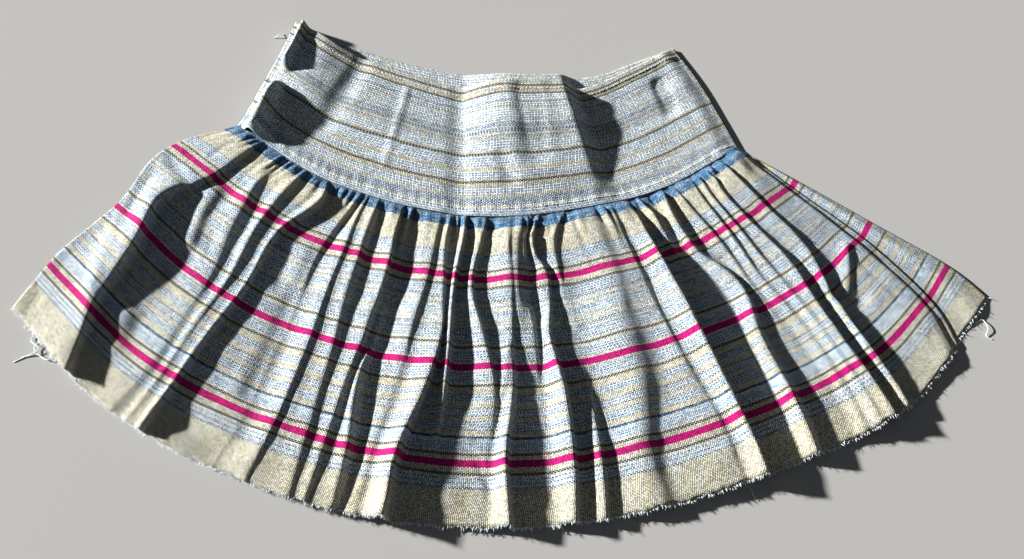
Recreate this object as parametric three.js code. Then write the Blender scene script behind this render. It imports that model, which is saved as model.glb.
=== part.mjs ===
// Short gathered linen skirt, laid flat with its waist towards +Y and its hem towards -Y.
// Millimetres, +Z up, the surface it lies on is Z = 0, the front faces up.
// Four sewn pieces: a hip yoke and a gathered flounce, each with a front and a back.
import * as THREE from 'three';

// Cloth and clearances
const WALL = 1.2;           // thickness of the woven cloth
const SEAM_GAP = 0.3;       // between two pieces at a seam
const FLOOR_CLEAR = 1.6;    // from the back's top to the underside of the front's lowest stretches
const NEST = 0.3;           // share of a front fold that the back repeats beneath it
const BACK_HUMP = 0.5;      // share of the waist hump that the back yoke repeats
const CENTRE = { x: -0.8, y: -1.5 }; // middle of the traced outline, which becomes the origin

// Outline of the laid skirt, in plan, from left to right or from top to bottom
const WAIST_FRONT = [[-193, 234], [-150, 203], [-94, 180], [-39, 162], [6, 160], [52, 159],
  [80, 163], [122, 185], [157, 205]];
const WAIST_BACK = [[-193, 235], [-148, 212], [-95, 192], [-39, 178], [0, 174], [47, 173],
  [86, 177], [122, 192], [157, 206]];
const SEAM = [[-237, 124], [-142, 64], [-15, 33], [119, 53], [209, 101]];
const HEM = [[-412, -51], [-330, -132], [-241, -184], [-127, -224], [3, -237], [128, -221],
  [240, -183], [325, -142], [379, -85]];
const YOKE_LEFT = [[-193, 234], [-205, 200], [-230, 139], [-237, 124]];
const YOKE_RIGHT = [[157, 205], [179, 168], [196, 131], [209, 101]];
const FLOUNCE_LEFT = [[-237, 124], [-286, 108], [-312, 88], [-334, 48], [-378, 2], [-412, -51]];
const FLOUNCE_RIGHT = [[209, 101], [254, 61], [313, 10], [361, -45], [379, -85]];
const BACK_RIGHT = [[209, 101], [256, 71], [319, 29], [380, -12], [413, -44]];
const SIDE_POWER = 4;       // how quickly a side's bulge dies away towards the middle of a panel
const BACK_HEM_LIFT = 4;    // the back's hem stops this far inside the front's

// Main folds of the flounce, from left to right: where each crest runs, in percent of the width
// at seven levels from seam to hem; its rise in millimetres at the last six; the share of the rise
// by which the cloth falls beyond it, near the seam and near the hem; how wide that falling side is
// per millimetre of fall; the share of the gap that climbs to the crest; the tip per millimetre.
const LEVELS = [0, 0.1, 0.25, 0.42, 0.6, 0.8, 1];
const PLACE_COLUMNS = ['atSeam', 'at10', 'at25', 'at42', 'at60', 'at80', 'atHem'];
const RISE_COLUMNS = ['rise10', 'rise25', 'rise42', 'rise60', 'rise80', 'riseHem'];
const SHAPE_COLUMNS = ['stepTop', 'stepHem', 'fall', 'fill', 'lean'];
const FOLDS = named([...PLACE_COLUMNS, ...RISE_COLUMNS, ...SHAPE_COLUMNS], [
  [5.9, 6.8, 7.2, 4, 5.6, 7, 8.8, 6, 5.5, 14, 17, 10.5, 12, 1, 1, 0.5, 0.8, 0.3],
  [10.9, 11.6, 13.9, 15.1, 15.6, 16, 14.8, 6, 6.5, 6, 5, 5, 3, 0.6, 0.2, 1.4, 0.5, 0.2],
  [16.3, 16.4, 17, 17.4, 17.1, 17.2, 16.5, 9, 8, 7.5, 7, 6.5, 5, 0.5, 0.15, 1.4, 0.55, 0.3],
  [20.6, 22.1, 20.1, 19.8, 19.1, 18.7, 17.9, 10.5, 7, 7, 7.5, 9, 10, 0.9, 0.9, 0.5, 0.4, 0.3],
  [27.2, 26.8, 26.4, 26.5, 26.6, 26.6, 25.6, 4, 2, 1.5, 1.5, 2, 1.5, 0.9, 0.3, 0.5, 0.6, 0.45],
  [28.5, 28.5, 29.3, 29.3, 29.5, 29.5, 28.8, 6, 6.5, 7.5, 7.5, 7.5, 4, 0.2, 0.3, 0.4, 0.85, 0.45],
  [30.6, 30.7, 31.5, 31.8, 32.4, 32.8, 33, 8, 8, 8.5, 7.5, 7, 5, 0.6, 0.35, 1.5, 0.6, 0.4],
  [35.3, 35.3, 36.1, 35.7, 35.1, 34.9, 34.6, 9, 9.5, 9, 7.5, 7, 5, 0.8, 0.45, 0.9, 0.75, 0.35],
  [37, 36.8, 37.6, 37.3, 36.2, 37, 37.2, 3.5, 1.5, 2, 7.5, 8, 4, 0.9, 1, 1.1, 0.6, 0.3],
  [42.2, 42.1, 42.1, 41.2, 40.7, 39.7, 39.4, 7, 7, 8, 5, 4, 3, 0.3, 0.1, 0.5, 0.85, 0.3],
  [44.1, 43.5, 44.3, 44.8, 43.5, 41.6, 41.3, 8, 7, 11, 15, 19, 18.5, 0.8, 1, 0.6, 0.85, 0.35],
  [46.9, 46.6, 46, 45.9, 46, 45.9, 45.5, 8, 9, 12.5, 11.5, 1, 0, 1, 0.9, 0.4, 0.5, 0.2],
  [50.2, 49.3, 48.4, 50.1, 51.6, 51, 50.6, 6, 6, 9, 7, 1.5, 0.5, 1, 0.3, 0.5, 0.8, 0.3],
  [54.6, 53.7, 53.9, 53.8, 53.5, 52.4, 52.8, 8, 8, 6.5, 8, 13, 12, 0.12, 1, 0.5, 0.8, 0.3],
  [58, 56.4, 56.3, 56.7, 56.7, 56.5, 56.5, 6, 3, 4, 0, 0, 0, 1, 1, 0.5, 0.8, 0.3],
  [59.6, 57.4, 59.5, 58.3, 58.9, 59.1, 58.7, 7, 4, 8, 12, 10, 9, 1, 1, 0.6, 0.85, 0.3],
  [64.2, 61.1, 61.3, 61.6, 62, 61.8, 61.5, 5, 1.5, 0, 2, 6.5, 6, 0.6, 0.9, 0.6, 0.7, 0.35],
  [68.3, 68.4, 68.8, 67.8, 67.5, 66.4, 66.7, 8, 9, 10, 9, 7.5, 6, 0.2, 0.6, 3.4, 0.9, 0.2],
  [71.8, 71.6, 71.9, 72.2, 72.7, 73.7, 74.2, 7, 7.5, 8, 8, 7, 5, 0.22, 0.15, 0.5, 0.9, 0.4],
  [75.3, 75.3, 74.9, 75.1, 75.2, 75.5, 76, 9, 17, 18.5, 18.5, 17, 15.5, 1, 1, 0.5, 0.8, 0.3],
  [77.6, 78, 78.9, 79.2, 79, 79, 79, 6, 1, 0, 0, 0, 0, 1, 1, 0.5, 0.6, 0.3],
  [82.2, 80.8, 81.2, 83.3, 81.7, 81.2, 81.2, 7, 6, 7, 8.5, 11, 10, 1, 1, 1, 0.5, 0.3],
  [83.9, 84.2, 84.8, 84.8, 85, 85.2, 85.1, 5, 5, 3, 1, 0.5, 0.5, 0.4, 0.3, 0.5, 0.8, 0.3],
  [87.5, 86.7, 86.5, 86, 86.5, 86.6, 86.7, 6, 7, 6, 5, 5, 4, 0.3, 0.05, 0.4, 0.8, 0.35],
  [89.2, 88.2, 88, 87.7, 87.7, 87.5, 88, 6.5, 7.5, 8, 9, 10, 9, 0.3, 0.05, 0.4, 0.8, 0.3],
  [92.4, 90.1, 89.9, 89.9, 88.8, 88.5, 89.2, 7, 8, 10, 12, 13, 12, 0.4, 0.85, 0.5, 0.9, 0.35],
  [94.3, 93.6, 93.3, 93, 91.1, 90.4, 91.2, 7, 8, 8, 9, 11, 7, 0.5, 1, 0.6, 0.7, 0.35],
  [98.6, 98.5, 98.7, 98.5, 98.6, 98.8, 98.9, 1.5, 2, 2.5, 2, 1.5, 1, 1, 1, 0.4, 0.9, 0.3],
]);
const STEP_CHANGE = { start: 0.25, run: 0.4 }; // share of the length where stepTop gives way to stepHem
const SEAM_RISE = 3.2;      // a gather's rise where it is caught in the seam
const SEAM_LIFT = 1.2;      // the front flounce's lift just below the yoke
const LIFT_END = 0.5;       // share of the length in which that lift dies out
const PUFF_END = 0.1;       // share of the length in which it swells out below the seam
const GATHER_RISE = 2.6;    // one small gather between each two folds, where there is room
const GATHER_END = 0.25;    // share of the length in which it dies out
const GATHER_ROOM = { start: 10, run: 8 }; // gaps from which gathers start to fit, and fit in full
const DROP = { start: 2, limit: 0.6 }; // least width of a fold's falling side, most share of its gap

// Creases of the front yoke, in percent across and percent down from the waist, with the
// half width in millimetres and the rise (or fall) at both ends
const CREASE_COLUMNS = ['across0', 'down0', 'across1', 'down1', 'width', 'rise0', 'rise1'];
const YOKE_CREASES = named(CREASE_COLUMNS, [
  [2.9, -12, 3.2, 36, 10, 9, 15],
  [3.6, 60, 3.6, 97, 12, 12, 10],
  [3.6, 71, 3.6, 96, 22, 8, 7],
  [10, 0, 10, 38, 46, 8, 6],
  [20.6, 4, 16.4, 60, 15, -2.2, -2.2],
  [25, 40, 42, 60, 62, 3, 3],
  [32.6, 14, 30.8, 74, 6, 1.3, 0.8],
  [44.8, 8, 45.4, 96, 13, -1.4, -1.6],
  [60.8, 10, 61, 56, 19, -4.2, -3],
  [66, 10, 66, 56, 24, -2, -1.6],
  [54.5, 58, 55.4, 75, 11, -2, -1.6],
  [91.9, 24, 91.3, 45, 9, -3.4, -3],
  [97.4, 0, 97.6, 100, 14, 2, 1],
]);
const SIDE_RUN = 0.02;                         // share of a row over which the flounce rises from a side
const YOKE_SIDE = { left: 0.036, right: 0.045 };  // the same at the two sides of the yoke
const YOKE_SIZE = { across: 430, down: 118 };  // cloth size that the percents above refer to
const HUMP = {
  left: [46, 47], leftRun: 12,      // foot and width of its left flank, percent
  right: [68.9, 70.8], rightRun: 5,    // crest and width of its right flank
  levels: [0, 0.25, 0.5, 0.72, 1],
  rise: [18.5, 19, 13.5, 8.5, 2],
};
const YOKE_LOFT = { waist: 0.8, seam: 2.4 };  // the front yoke's lift over the back's

// Lengths of the laid flounce: down its middle, along its seam and along its hem
const FLOUNCE_LENGTH = 265;
const SEAM_LENGTH = 482;
const HEM_LENGTH = 889;

// Mesh steps
const FLOUNCE_ROWS = [0, 0.03, 0.07, 0.12, 0.2, 0.28, 0.36, 0.45, 0.55, 0.66, 0.77, 0.88, 1];
const BACK_ROWS = [0, 0.1, 0.25, 0.42, 0.6, 0.8, 1];
const YOKE_ROWS = [0, 0.12, 0.25, 0.38, 0.5, 0.62, 0.74, 0.87, 1];
const FRONT_STEPS = 3;      // columns up the climbing side of each fold
const BACK_STEPS = 2;
const YOKE_STEPS = 50;
const MARGIN_STEPS = 3;     // columns of the back's margin that shows past the front's right edge

const WHITE = 0xd9dee2;
const BLUE = 0xb4c3d4;

function named(columns, rows) {
  return rows.map((row) => Object.fromEntries(columns.map((column, i) => [column, row[i]])));
}

function clamp01(t) {
  return Math.min(Math.max(t, 0), 1);
}

function smooth(t) {
  const c = clamp01(t);
  return c * c * (3 - 2 * c);
}

function mix(a, b, t) {
  return a + (b - a) * t;
}

// A smooth line through values given at rising stations
function through(stations, values, at) {
  const last = stations.length - 1;
  let i = 0;
  while (i < last - 1 && at > stations[i + 1]) i += 1;
  const span = stations[i + 1] - stations[i];
  const t = clamp01((at - stations[i]) / span);
  const slope = (j) => {
    const a = Math.max(j - 1, 0);
    const b = Math.min(j + 1, last);
    return (values[b] - values[a]) / (stations[b] - stations[a]);
  };
  const t2 = t * t;
  const t3 = t2 * t;
  return (2 * t3 - 3 * t2 + 1) * values[i] + (t3 - 2 * t2 + t) * span * slope(i)
    + (3 * t2 - 2 * t3) * values[i + 1] + (t3 - t2) * span * slope(i + 1);
}

function curve(points) {
  const line = new THREE.CatmullRomCurve3(
    points.map(([x, y]) => new THREE.Vector3(x - CENTRE.x, y - CENTRE.y, 0)), false, 'catmullrom', 0.5);
  line.arcLengthDivisions = 400;
  return line;
}

// A panel's plan: ruled from its top edge to its bottom edge, with each side's own bulge
function panelPlan(top, bottom, left, right) {
  const edges = [top, bottom, left, right].map(curve);
  return (u, v) => {
    const [t, b, l, r] = [edges[0].getPointAt(u), edges[1].getPointAt(u),
      edges[2].getPointAt(v), edges[3].getPointAt(v)];
    const straight = (u0) => edges[0].getPointAt(u0).lerp(edges[1].getPointAt(u0), v);
    return t.lerp(b, v)
      .addScaledVector(l.sub(straight(0)), (1 - u) ** SIDE_POWER)
      .addScaledVector(r.sub(straight(1)), u ** SIDE_POWER);
  };
}

// The crests met along one row of the flounce, with the panel's two sides as the first and last
function crestsAt(v, width) {
  const change = smooth((v - STEP_CHANGE.start) / STEP_CHANGE.run);
  const inner = FOLDS.map((fold) => {
    const places = PLACE_COLUMNS.map((column) => fold[column]);
    const rises = [fold.rise10, ...RISE_COLUMNS.map((column) => fold[column])];
    const full = Math.max(through(LEVELS, rises, v), 0);
    const rise = mix(SEAM_RISE, full, smooth(v / PUFF_END));
    const step = mix(fold.stepTop, fold.stepHem, change);
    const at = through(LEVELS, places, v) / 100;
    return { at, rise, foot: rise * (1 - step), fall: fold.fall, fill: fold.fill, lean: fold.lean };
  });
  const side = (at) => ({ at, rise: 0, foot: 0, fall: 0, fill: 1, lean: 0 });
  const crests = [side(0), ...inner, side(1)];
  crests.slice(0, -1).forEach((crest, i) => {
    const wide = (DROP.start + crest.fall * (crest.rise - crest.foot)) / width;
    crest.gap = crests[i + 1].at - crest.at;
    crest.drop = Math.min(wide, crest.gap * DROP.limit);
    crest.climb = crests[i + 1].fill * (crest.gap - crest.drop);
    crest.room = smooth((crest.gap * width - GATHER_ROOM.start) / GATHER_ROOM.run);
  });
  return crests;
}

// Height of the folds, and their lean, at a place across one row
function foldAt(crests, u, v) {
  let i = 0;
  while (i < crests.length - 2 && u > crests[i + 1].at) i += 1;
  const [a, b] = [crests[i], crests[i + 1]];
  const down = (a.rise - a.foot) * (1 - smooth((u - a.at) / a.drop));
  const up = (b.rise - a.foot) * smooth((u - b.at + a.climb) / a.climb);
  const between = (u - a.at - a.drop) / (a.gap - a.drop);
  const gather = GATHER_RISE * a.room * smooth(1 - Math.abs(between - 0.45) / 0.4)
    * (1 - smooth(v / GATHER_END)) * smooth(v / PUFF_END + 0.5);
  return { rise: a.foot + down + up + gather, lean: mix(a.lean, b.lean, (u - a.at) / a.gap) };
}

// Columns that stand on the crests and at both ends of their falling and climbing sides, with
// the given number of steps up each climb
function flounceColumns(crests, steps) {
  const columns = [];
  crests.slice(0, -1).forEach((crest, i) => {
    const next = crests[i + 1].at;
    columns.push(crest.at, crest.at + crest.drop);
    for (let k = crests[i + 1].fill < 1 ? 0 : 1; k < steps; k += 1) {
      columns.push(mix(next - crest.climb, next, k / steps));
    }
  });
  columns.push(1);
  return columns;
}

function humpAt(s, t) {
  const foot = mix(...HUMP.left, t) / 100;
  const crest = mix(...HUMP.right, t) / 100;
  const climb = 1 - clamp01(1 - (s - foot) / (HUMP.leftRun / 100)) ** 2;
  const fall = 1 - smooth((s - crest) / (HUMP.rightRun / 100));
  return through(HUMP.levels, HUMP.rise, t) * climb * fall;
}

// Soft ridges and troughs, each along a straight line on the flat yoke
function creaseAt(s, t) {
  const flat = (across, down) => new THREE.Vector2(across * YOKE_SIZE.across, down * YOKE_SIZE.down);
  const p = flat(s, t);
  return YOKE_CREASES.reduce((sum, row) => {
    const a = flat(row.across0 / 100, row.down0 / 100);
    const b = flat(row.across1 / 100, row.down1 / 100);
    const line = b.clone().sub(a);
    const along = clamp01(p.clone().sub(a).dot(line) / line.lengthSq());
    const away = p.distanceTo(a.addScaledVector(line, along));
    return sum + mix(row.rise0, row.rise1, along) * smooth(1 - away / row.width);
  }, 0);
}

// A closed cloth wall from two grids of points, upper and lower
function clothShell(grid) {
  const rows = grid.length;
  const columns = grid[0].length;
  const positions = [];
  ['high', 'low'].forEach((side) => {
    grid.forEach((row) => row.forEach((point) => positions.push(...point[side])));
  });
  const high = (i, j) => i * columns + j;
  const low = (i, j) => rows * columns + high(i, j);
  const faces = [];
  const quad = (a, b, c, d) => faces.push(a, b, c, a, c, d);
  for (let i = 0; i < rows - 1; i += 1) {
    for (let j = 0; j < columns - 1; j += 1) {
      quad(high(i, j), high(i + 1, j), high(i + 1, j + 1), high(i, j + 1));
      quad(low(i, j), low(i, j + 1), low(i + 1, j + 1), low(i + 1, j));
    }
    quad(high(i, 0), low(i, 0), low(i + 1, 0), high(i + 1, 0));
    quad(high(i + 1, columns - 1), low(i + 1, columns - 1), low(i, columns - 1), high(i, columns - 1));
  }
  for (let j = 0; j < columns - 1; j += 1) {
    quad(high(0, j + 1), low(0, j + 1), low(0, j), high(0, j));
    quad(high(rows - 1, j), low(rows - 1, j), low(rows - 1, j + 1), high(rows - 1, j + 1));
  }
  const geometry = new THREE.BufferGeometry();
  geometry.setAttribute('position', new THREE.Float32BufferAttribute(positions, 3));
  geometry.setIndex(faces);
  geometry.computeVertexNormals();
  return geometry;
}

function clothMesh(name, colour, grid) {
  const material = new THREE.MeshStandardMaterial({ color: colour, roughness: 0.9, metalness: 0 });
  const mesh = new THREE.Mesh(clothShell(grid), material);
  mesh.name = name;
  return mesh;
}

// One point of the wall: its plan place tipped by the lean, at the height of each face
function wallPoint(place, sideways, lean, low, high) {
  const tip = (z) => [place.x + sideways.x * lean * z, place.y + sideways.y * lean * z, z];
  return { low: tip(low), high: tip(high) };
}

function sidewaysAt(plan, u, v) {
  const step = 0.002;
  const a = plan(Math.max(u - step, 0), v);
  const b = plan(Math.min(u + step, 1), v);
  return b.sub(a).normalize();
}

// The flounce's wall is thicker upwards where it is steep, so that it stays WALL thick across
function upwardWall(crests, u, v, width) {
  const step = 0.0015;
  const slope = (foldAt(crests, Math.min(u + step, 1), v).rise
    - foldAt(crests, Math.max(u - step, 0), v).rise) / (2 * step * width);
  const { lean } = foldAt(crests, u, v);
  return WALL * Math.min(Math.hypot(1 + lean * slope, slope), 3);
}

function edgeFade(u, left = SIDE_RUN, right = SIDE_RUN) {
  return smooth(Math.min(u / left, (1 - u) / right));
}

function frontFloor(u, v) {
  const seamLift = (SEAM_LIFT + humpAt(u, 1)) * (1 - smooth(v / LIFT_END));
  return WALL + SEAM_GAP + edgeFade(u) * (FLOOR_CLEAR - SEAM_GAP + seamLift);
}

// The flounce's first row stops short of the yoke by the seam gap
function belowSeam(v) {
  return Math.max(v, SEAM_GAP / FLOUNCE_LENGTH);
}

function rowWidth(v) {
  return mix(SEAM_LENGTH, HEM_LENGTH, v);
}

function flounceFront() {
  const plan = panelPlan(SEAM, HEM, FLOUNCE_LEFT, FLOUNCE_RIGHT);
  const grid = FLOUNCE_ROWS.map((row) => {
    const v = belowSeam(row);
    const width = rowWidth(v);
    const crests = crestsAt(v, width);
    return flounceColumns(crests, FRONT_STEPS).map((u) => {
      const fold = foldAt(crests, u, v);
      const high = frontFloor(u, v) + WALL + fold.rise;
      const low = Math.max(high - upwardWall(crests, u, v, width), WALL + SEAM_GAP + NEST * fold.rise);
      return wallPoint(plan(u, v), sidewaysAt(plan, u, v), fold.lean, low, high);
    });
  });
  return clothMesh('flounce_front', WHITE, grid);
}

function flounceBack() {
  const plan = panelPlan(SEAM, HEM, FLOUNCE_LEFT, FLOUNCE_RIGHT);
  const margin = curve(BACK_RIGHT);
  const grid = BACK_ROWS.map((row) => {
    const v = Math.min(belowSeam(row), 1 - BACK_HEM_LIFT / FLOUNCE_LENGTH);
    const crests = crestsAt(v, rowWidth(v));
    const points = flounceColumns(crests, BACK_STEPS).map((u) => {
      const fold = foldAt(crests, u, v);
      const low = NEST * fold.rise;
      return wallPoint(plan(u, v), sidewaysAt(plan, u, v), fold.lean, low, low + WALL);
    });
    const inner = plan(1, v);
    const outer = margin.getPointAt(v);
    for (let k = 1; k <= MARGIN_STEPS; k += 1) {
      const place = inner.clone().lerp(outer, k / MARGIN_STEPS);
      points.push(wallPoint(place, place, 0, 0, WALL));
    }
    return points;
  });
  return clothMesh('flounce_back', BLUE, grid);
}

function yokeGrid(waist, heights) {
  const plan = panelPlan(waist, SEAM, YOKE_LEFT, YOKE_RIGHT);
  return YOKE_ROWS.map((t) => Array.from({ length: YOKE_STEPS + 1 }, (_, k) => {
    const s = k / YOKE_STEPS;
    const [low, high] = heights(s, t);
    return wallPoint(plan(s, t), new THREE.Vector3(), 0, low, high);
  }));
}

function yokeFront() {
  const grid = yokeGrid(WAIST_FRONT, (s, t) => {
    const loft = FLOOR_CLEAR + mix(YOKE_LOFT.waist, YOKE_LOFT.seam, t) + creaseAt(s, t);
    const rolled = edgeFade(s, YOKE_SIDE.left, YOKE_SIDE.right) * loft;
    const lift = Math.max(rolled, SEAM_GAP) + humpAt(s, t);
    return [WALL + lift, 2 * WALL + lift];
  });
  return clothMesh('yoke_front', WHITE, grid);
}

function yokeBack() {
  const grid = yokeGrid(WAIST_BACK, (s, t) => {
    const lift = BACK_HUMP * humpAt(s, t);
    return [lift, lift + WALL];
  });
  return clothMesh('yoke_back', BLUE, grid);
}

const skirt = new THREE.Group();
skirt.add(yokeFront(), yokeBack(), flounceFront(), flounceBack());

export default skirt;
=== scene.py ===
"""A short gathered linen skirt, laid flat on a pale floor and seen from its hem side.

Run as a script in Blender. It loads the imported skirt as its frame, builds the visible cloth of
each sewn piece on the frame's own form, sews it, frays its hem and lights it.
Lengths are millimetres in the tables and metres in the meshes.
"""

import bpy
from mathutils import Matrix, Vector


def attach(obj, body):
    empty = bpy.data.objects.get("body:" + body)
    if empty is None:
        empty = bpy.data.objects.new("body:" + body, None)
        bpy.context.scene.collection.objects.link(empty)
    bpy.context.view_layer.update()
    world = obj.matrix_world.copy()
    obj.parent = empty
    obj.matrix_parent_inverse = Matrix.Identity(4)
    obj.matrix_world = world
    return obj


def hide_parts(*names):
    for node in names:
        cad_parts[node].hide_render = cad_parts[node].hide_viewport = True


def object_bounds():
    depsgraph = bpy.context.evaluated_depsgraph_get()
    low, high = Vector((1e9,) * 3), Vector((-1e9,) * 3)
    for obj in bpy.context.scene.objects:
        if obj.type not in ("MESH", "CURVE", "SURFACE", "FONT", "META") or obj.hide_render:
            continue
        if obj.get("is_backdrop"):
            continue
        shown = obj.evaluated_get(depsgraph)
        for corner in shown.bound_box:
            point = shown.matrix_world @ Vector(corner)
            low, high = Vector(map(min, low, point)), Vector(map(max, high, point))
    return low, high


bl_info = {
    "name": "Gathered linen skirt",
    "version": (1, 0, 0),
    "blender": (4, 5, 0),
    "location": "View3D > Sidebar > Skirt",
    "description": "Builds the cloth, sewing and frayed hem of a striped linen skirt",
    "category": "Add Mesh",
}

import math
from collections import namedtuple

import bpy
import numpy as np
from bpy.props import FloatProperty, FloatVectorProperty, IntProperty, PointerProperty

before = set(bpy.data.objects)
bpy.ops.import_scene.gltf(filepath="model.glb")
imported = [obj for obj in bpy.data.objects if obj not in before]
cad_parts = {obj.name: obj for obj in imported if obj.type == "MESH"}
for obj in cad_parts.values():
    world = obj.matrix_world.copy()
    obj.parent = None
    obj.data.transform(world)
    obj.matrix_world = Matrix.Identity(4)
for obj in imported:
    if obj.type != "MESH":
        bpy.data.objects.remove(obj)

MM = 0.001
BODY = "root"

# Cloth and clearances, as in the part's source
WALL = 1.2
SEAM_GAP = 0.3
FLOOR_CLEAR = 1.6
NEST = 0.3
BACK_HUMP = 0.5
CENTRE = (-0.8, -1.5)

# Outline of the laid skirt in plan, from left to right or from top to bottom
WAIST_FRONT = [(-193, 234), (-150, 203), (-94, 180), (-39, 162), (6, 160), (52, 159),
               (80, 163), (122, 185), (157, 205)]
WAIST_BACK = [(-193, 235), (-148, 212), (-95, 192), (-39, 178), (0, 174), (47, 173),
              (86, 177), (122, 192), (157, 206)]
SEAM = [(-237, 124), (-142, 64), (-15, 33), (119, 53), (209, 101)]
HEM = [(-412, -51), (-330, -132), (-241, -184), (-127, -224), (3, -237), (128, -221),
       (240, -183), (325, -142), (379, -85)]
YOKE_LEFT = [(-193, 234), (-205, 200), (-230, 139), (-237, 124)]
YOKE_RIGHT = [(157, 205), (179, 168), (196, 131), (209, 101)]
FLOUNCE_LEFT = [(-237, 124), (-286, 108), (-312, 88), (-334, 48), (-378, 2), (-412, -51)]
FLOUNCE_RIGHT = [(209, 101), (254, 61), (313, 10), (361, -45), (379, -85)]
BACK_RIGHT = [(209, 101), (256, 71), (319, 29), (380, -12), (413, -44)]
# How fast a side's bulge fades towards the middle, and how much shorter the back's hem is
SIDE_POWER = 4
BACK_HEM_LIFT = 4

# Main folds of the flounce, from left to right: where each crest runs, in percent of the width at
# seven levels from seam to hem; its rise in millimetres at the last six; the share of the rise by
# which the cloth falls beyond it, near the seam and near the hem; how wide that falling side is
# per millimetre of fall; the share of the gap that climbs to the crest; the tip per millimetre
LEVELS = np.array([0, 0.1, 0.25, 0.42, 0.6, 0.8, 1])
FOLD_COLUMNS = ("at_seam", "at_10", "at_25", "at_42", "at_60", "at_80", "at_hem",
                "rise_10", "rise_25", "rise_42", "rise_60", "rise_80", "rise_hem",
                "step_top", "step_hem", "fall", "fill", "lean")
FOLDS = np.array([
    (5.9, 6.8, 7.2, 4, 5.6, 7, 8.8, 6, 5.5, 14, 17, 10.5, 12, 1, 1, 0.5, 0.8, 0.3),
    (10.9, 11.6, 13.9, 15.1, 15.6, 16, 14.8, 6, 6.5, 6, 5, 5, 3, 0.6, 0.2, 1.4, 0.5, 0.2),
    (16.3, 16.4, 17, 17.4, 17.1, 17.2, 16.5, 9, 8, 7.5, 7, 6.5, 5, 0.5, 0.15, 1.4, 0.55, 0.3),
    (20.6, 22.1, 20.1, 19.8, 19.1, 18.7, 17.9, 10.5, 7, 7, 7.5, 9, 10, 0.9, 0.9, 0.5, 0.4, 0.3),
    (27.2, 26.8, 26.4, 26.5, 26.6, 26.6, 25.6, 4, 2, 1.5, 1.5, 2, 1.5, 0.9, 0.3, 0.5, 0.6, 0.45),
    (28.5, 28.5, 29.3, 29.3, 29.5, 29.5, 28.8, 6, 6.5, 7.5, 7.5, 7.5, 4, 0.2, 0.3, 0.4, 0.85, 0.45),
    (30.6, 30.7, 31.5, 31.8, 32.4, 32.8, 33, 8, 8, 8.5, 7.5, 7, 5, 0.6, 0.35, 1.5, 0.6, 0.4),
    (35.3, 35.3, 36.1, 35.7, 35.1, 34.9, 34.6, 9, 9.5, 9, 7.5, 7, 5, 0.8, 0.45, 0.9, 0.75, 0.35),
    (37, 36.8, 37.6, 37.3, 36.2, 37, 37.2, 3.5, 1.5, 2, 7.5, 8, 4, 0.9, 1, 1.1, 0.6, 0.3),
    (42.2, 42.1, 42.1, 41.2, 40.7, 39.7, 39.4, 7, 7, 8, 5, 4, 3, 0.3, 0.1, 0.5, 0.85, 0.3),
    (44.1, 43.5, 44.3, 44.8, 43.5, 41.6, 41.3, 8, 7, 11, 15, 19, 18.5, 0.8, 1, 0.6, 0.85, 0.35),
    (46.9, 46.6, 46, 45.9, 46, 45.9, 45.5, 8, 9, 12.5, 11.5, 1, 0, 1, 0.9, 0.4, 0.5, 0.2),
    (50.2, 49.3, 48.4, 50.1, 51.6, 51, 50.6, 6, 6, 9, 7, 1.5, 0.5, 1, 0.3, 0.5, 0.8, 0.3),
    (54.6, 53.7, 53.9, 53.8, 53.5, 52.4, 52.8, 8, 8, 6.5, 8, 13, 12, 0.12, 1, 0.5, 0.8, 0.3),
    (58, 56.4, 56.3, 56.7, 56.7, 56.5, 56.5, 6, 3, 4, 0, 0, 0, 1, 1, 0.5, 0.8, 0.3),
    (59.6, 57.4, 59.5, 58.3, 58.9, 59.1, 58.7, 7, 4, 8, 12, 10, 9, 1, 1, 0.6, 0.85, 0.3),
    (64.2, 61.1, 61.3, 61.6, 62, 61.8, 61.5, 5, 1.5, 0, 2, 6.5, 6, 0.6, 0.9, 0.6, 0.7, 0.35),
    (68.3, 68.4, 68.8, 67.8, 67.5, 66.4, 66.7, 8, 9, 10, 9, 7.5, 6, 0.2, 0.6, 3.4, 0.9, 0.2),
    (71.8, 71.6, 71.9, 72.2, 72.7, 73.7, 74.2, 7, 7.5, 8, 8, 7, 5, 0.22, 0.15, 0.5, 0.9, 0.4),
    (75.3, 75.3, 74.9, 75.1, 75.2, 75.5, 76, 9, 17, 18.5, 18.5, 17, 15.5, 1, 1, 0.5, 0.8, 0.3),
    (77.6, 78, 78.9, 79.2, 79, 79, 79, 6, 1, 0, 0, 0, 0, 1, 1, 0.5, 0.6, 0.3),
    (82.2, 80.8, 81.2, 83.3, 81.7, 81.2, 81.2, 7, 6, 7, 8.5, 11, 10, 1, 1, 1, 0.5, 0.3),
    (83.9, 84.2, 84.8, 84.8, 85, 85.2, 85.1, 5, 5, 3, 1, 0.5, 0.5, 0.4, 0.3, 0.5, 0.8, 0.3),
    (87.5, 86.7, 86.5, 86, 86.5, 86.6, 86.7, 6, 7, 6, 5, 5, 4, 0.3, 0.05, 0.4, 0.8, 0.35),
    (89.2, 88.2, 88, 87.7, 87.7, 87.5, 88, 6.5, 7.5, 8, 9, 10, 9, 0.3, 0.05, 0.4, 0.8, 0.3),
    (92.4, 90.1, 89.9, 89.9, 88.8, 88.5, 89.2, 7, 8, 10, 12, 13, 12, 0.4, 0.85, 0.5, 0.9, 0.35),
    (94.3, 93.6, 93.3, 93, 91.1, 90.4, 91.2, 7, 8, 8, 9, 11, 7, 0.5, 1, 0.6, 0.7, 0.35),
    (98.6, 98.5, 98.7, 98.5, 98.6, 98.8, 98.9, 1.5, 2, 2.5, 2, 1.5, 1, 1, 1, 0.4, 0.9, 0.3),
])
STEP_CHANGE_START, STEP_CHANGE_RUN = 0.25, 0.4
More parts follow.
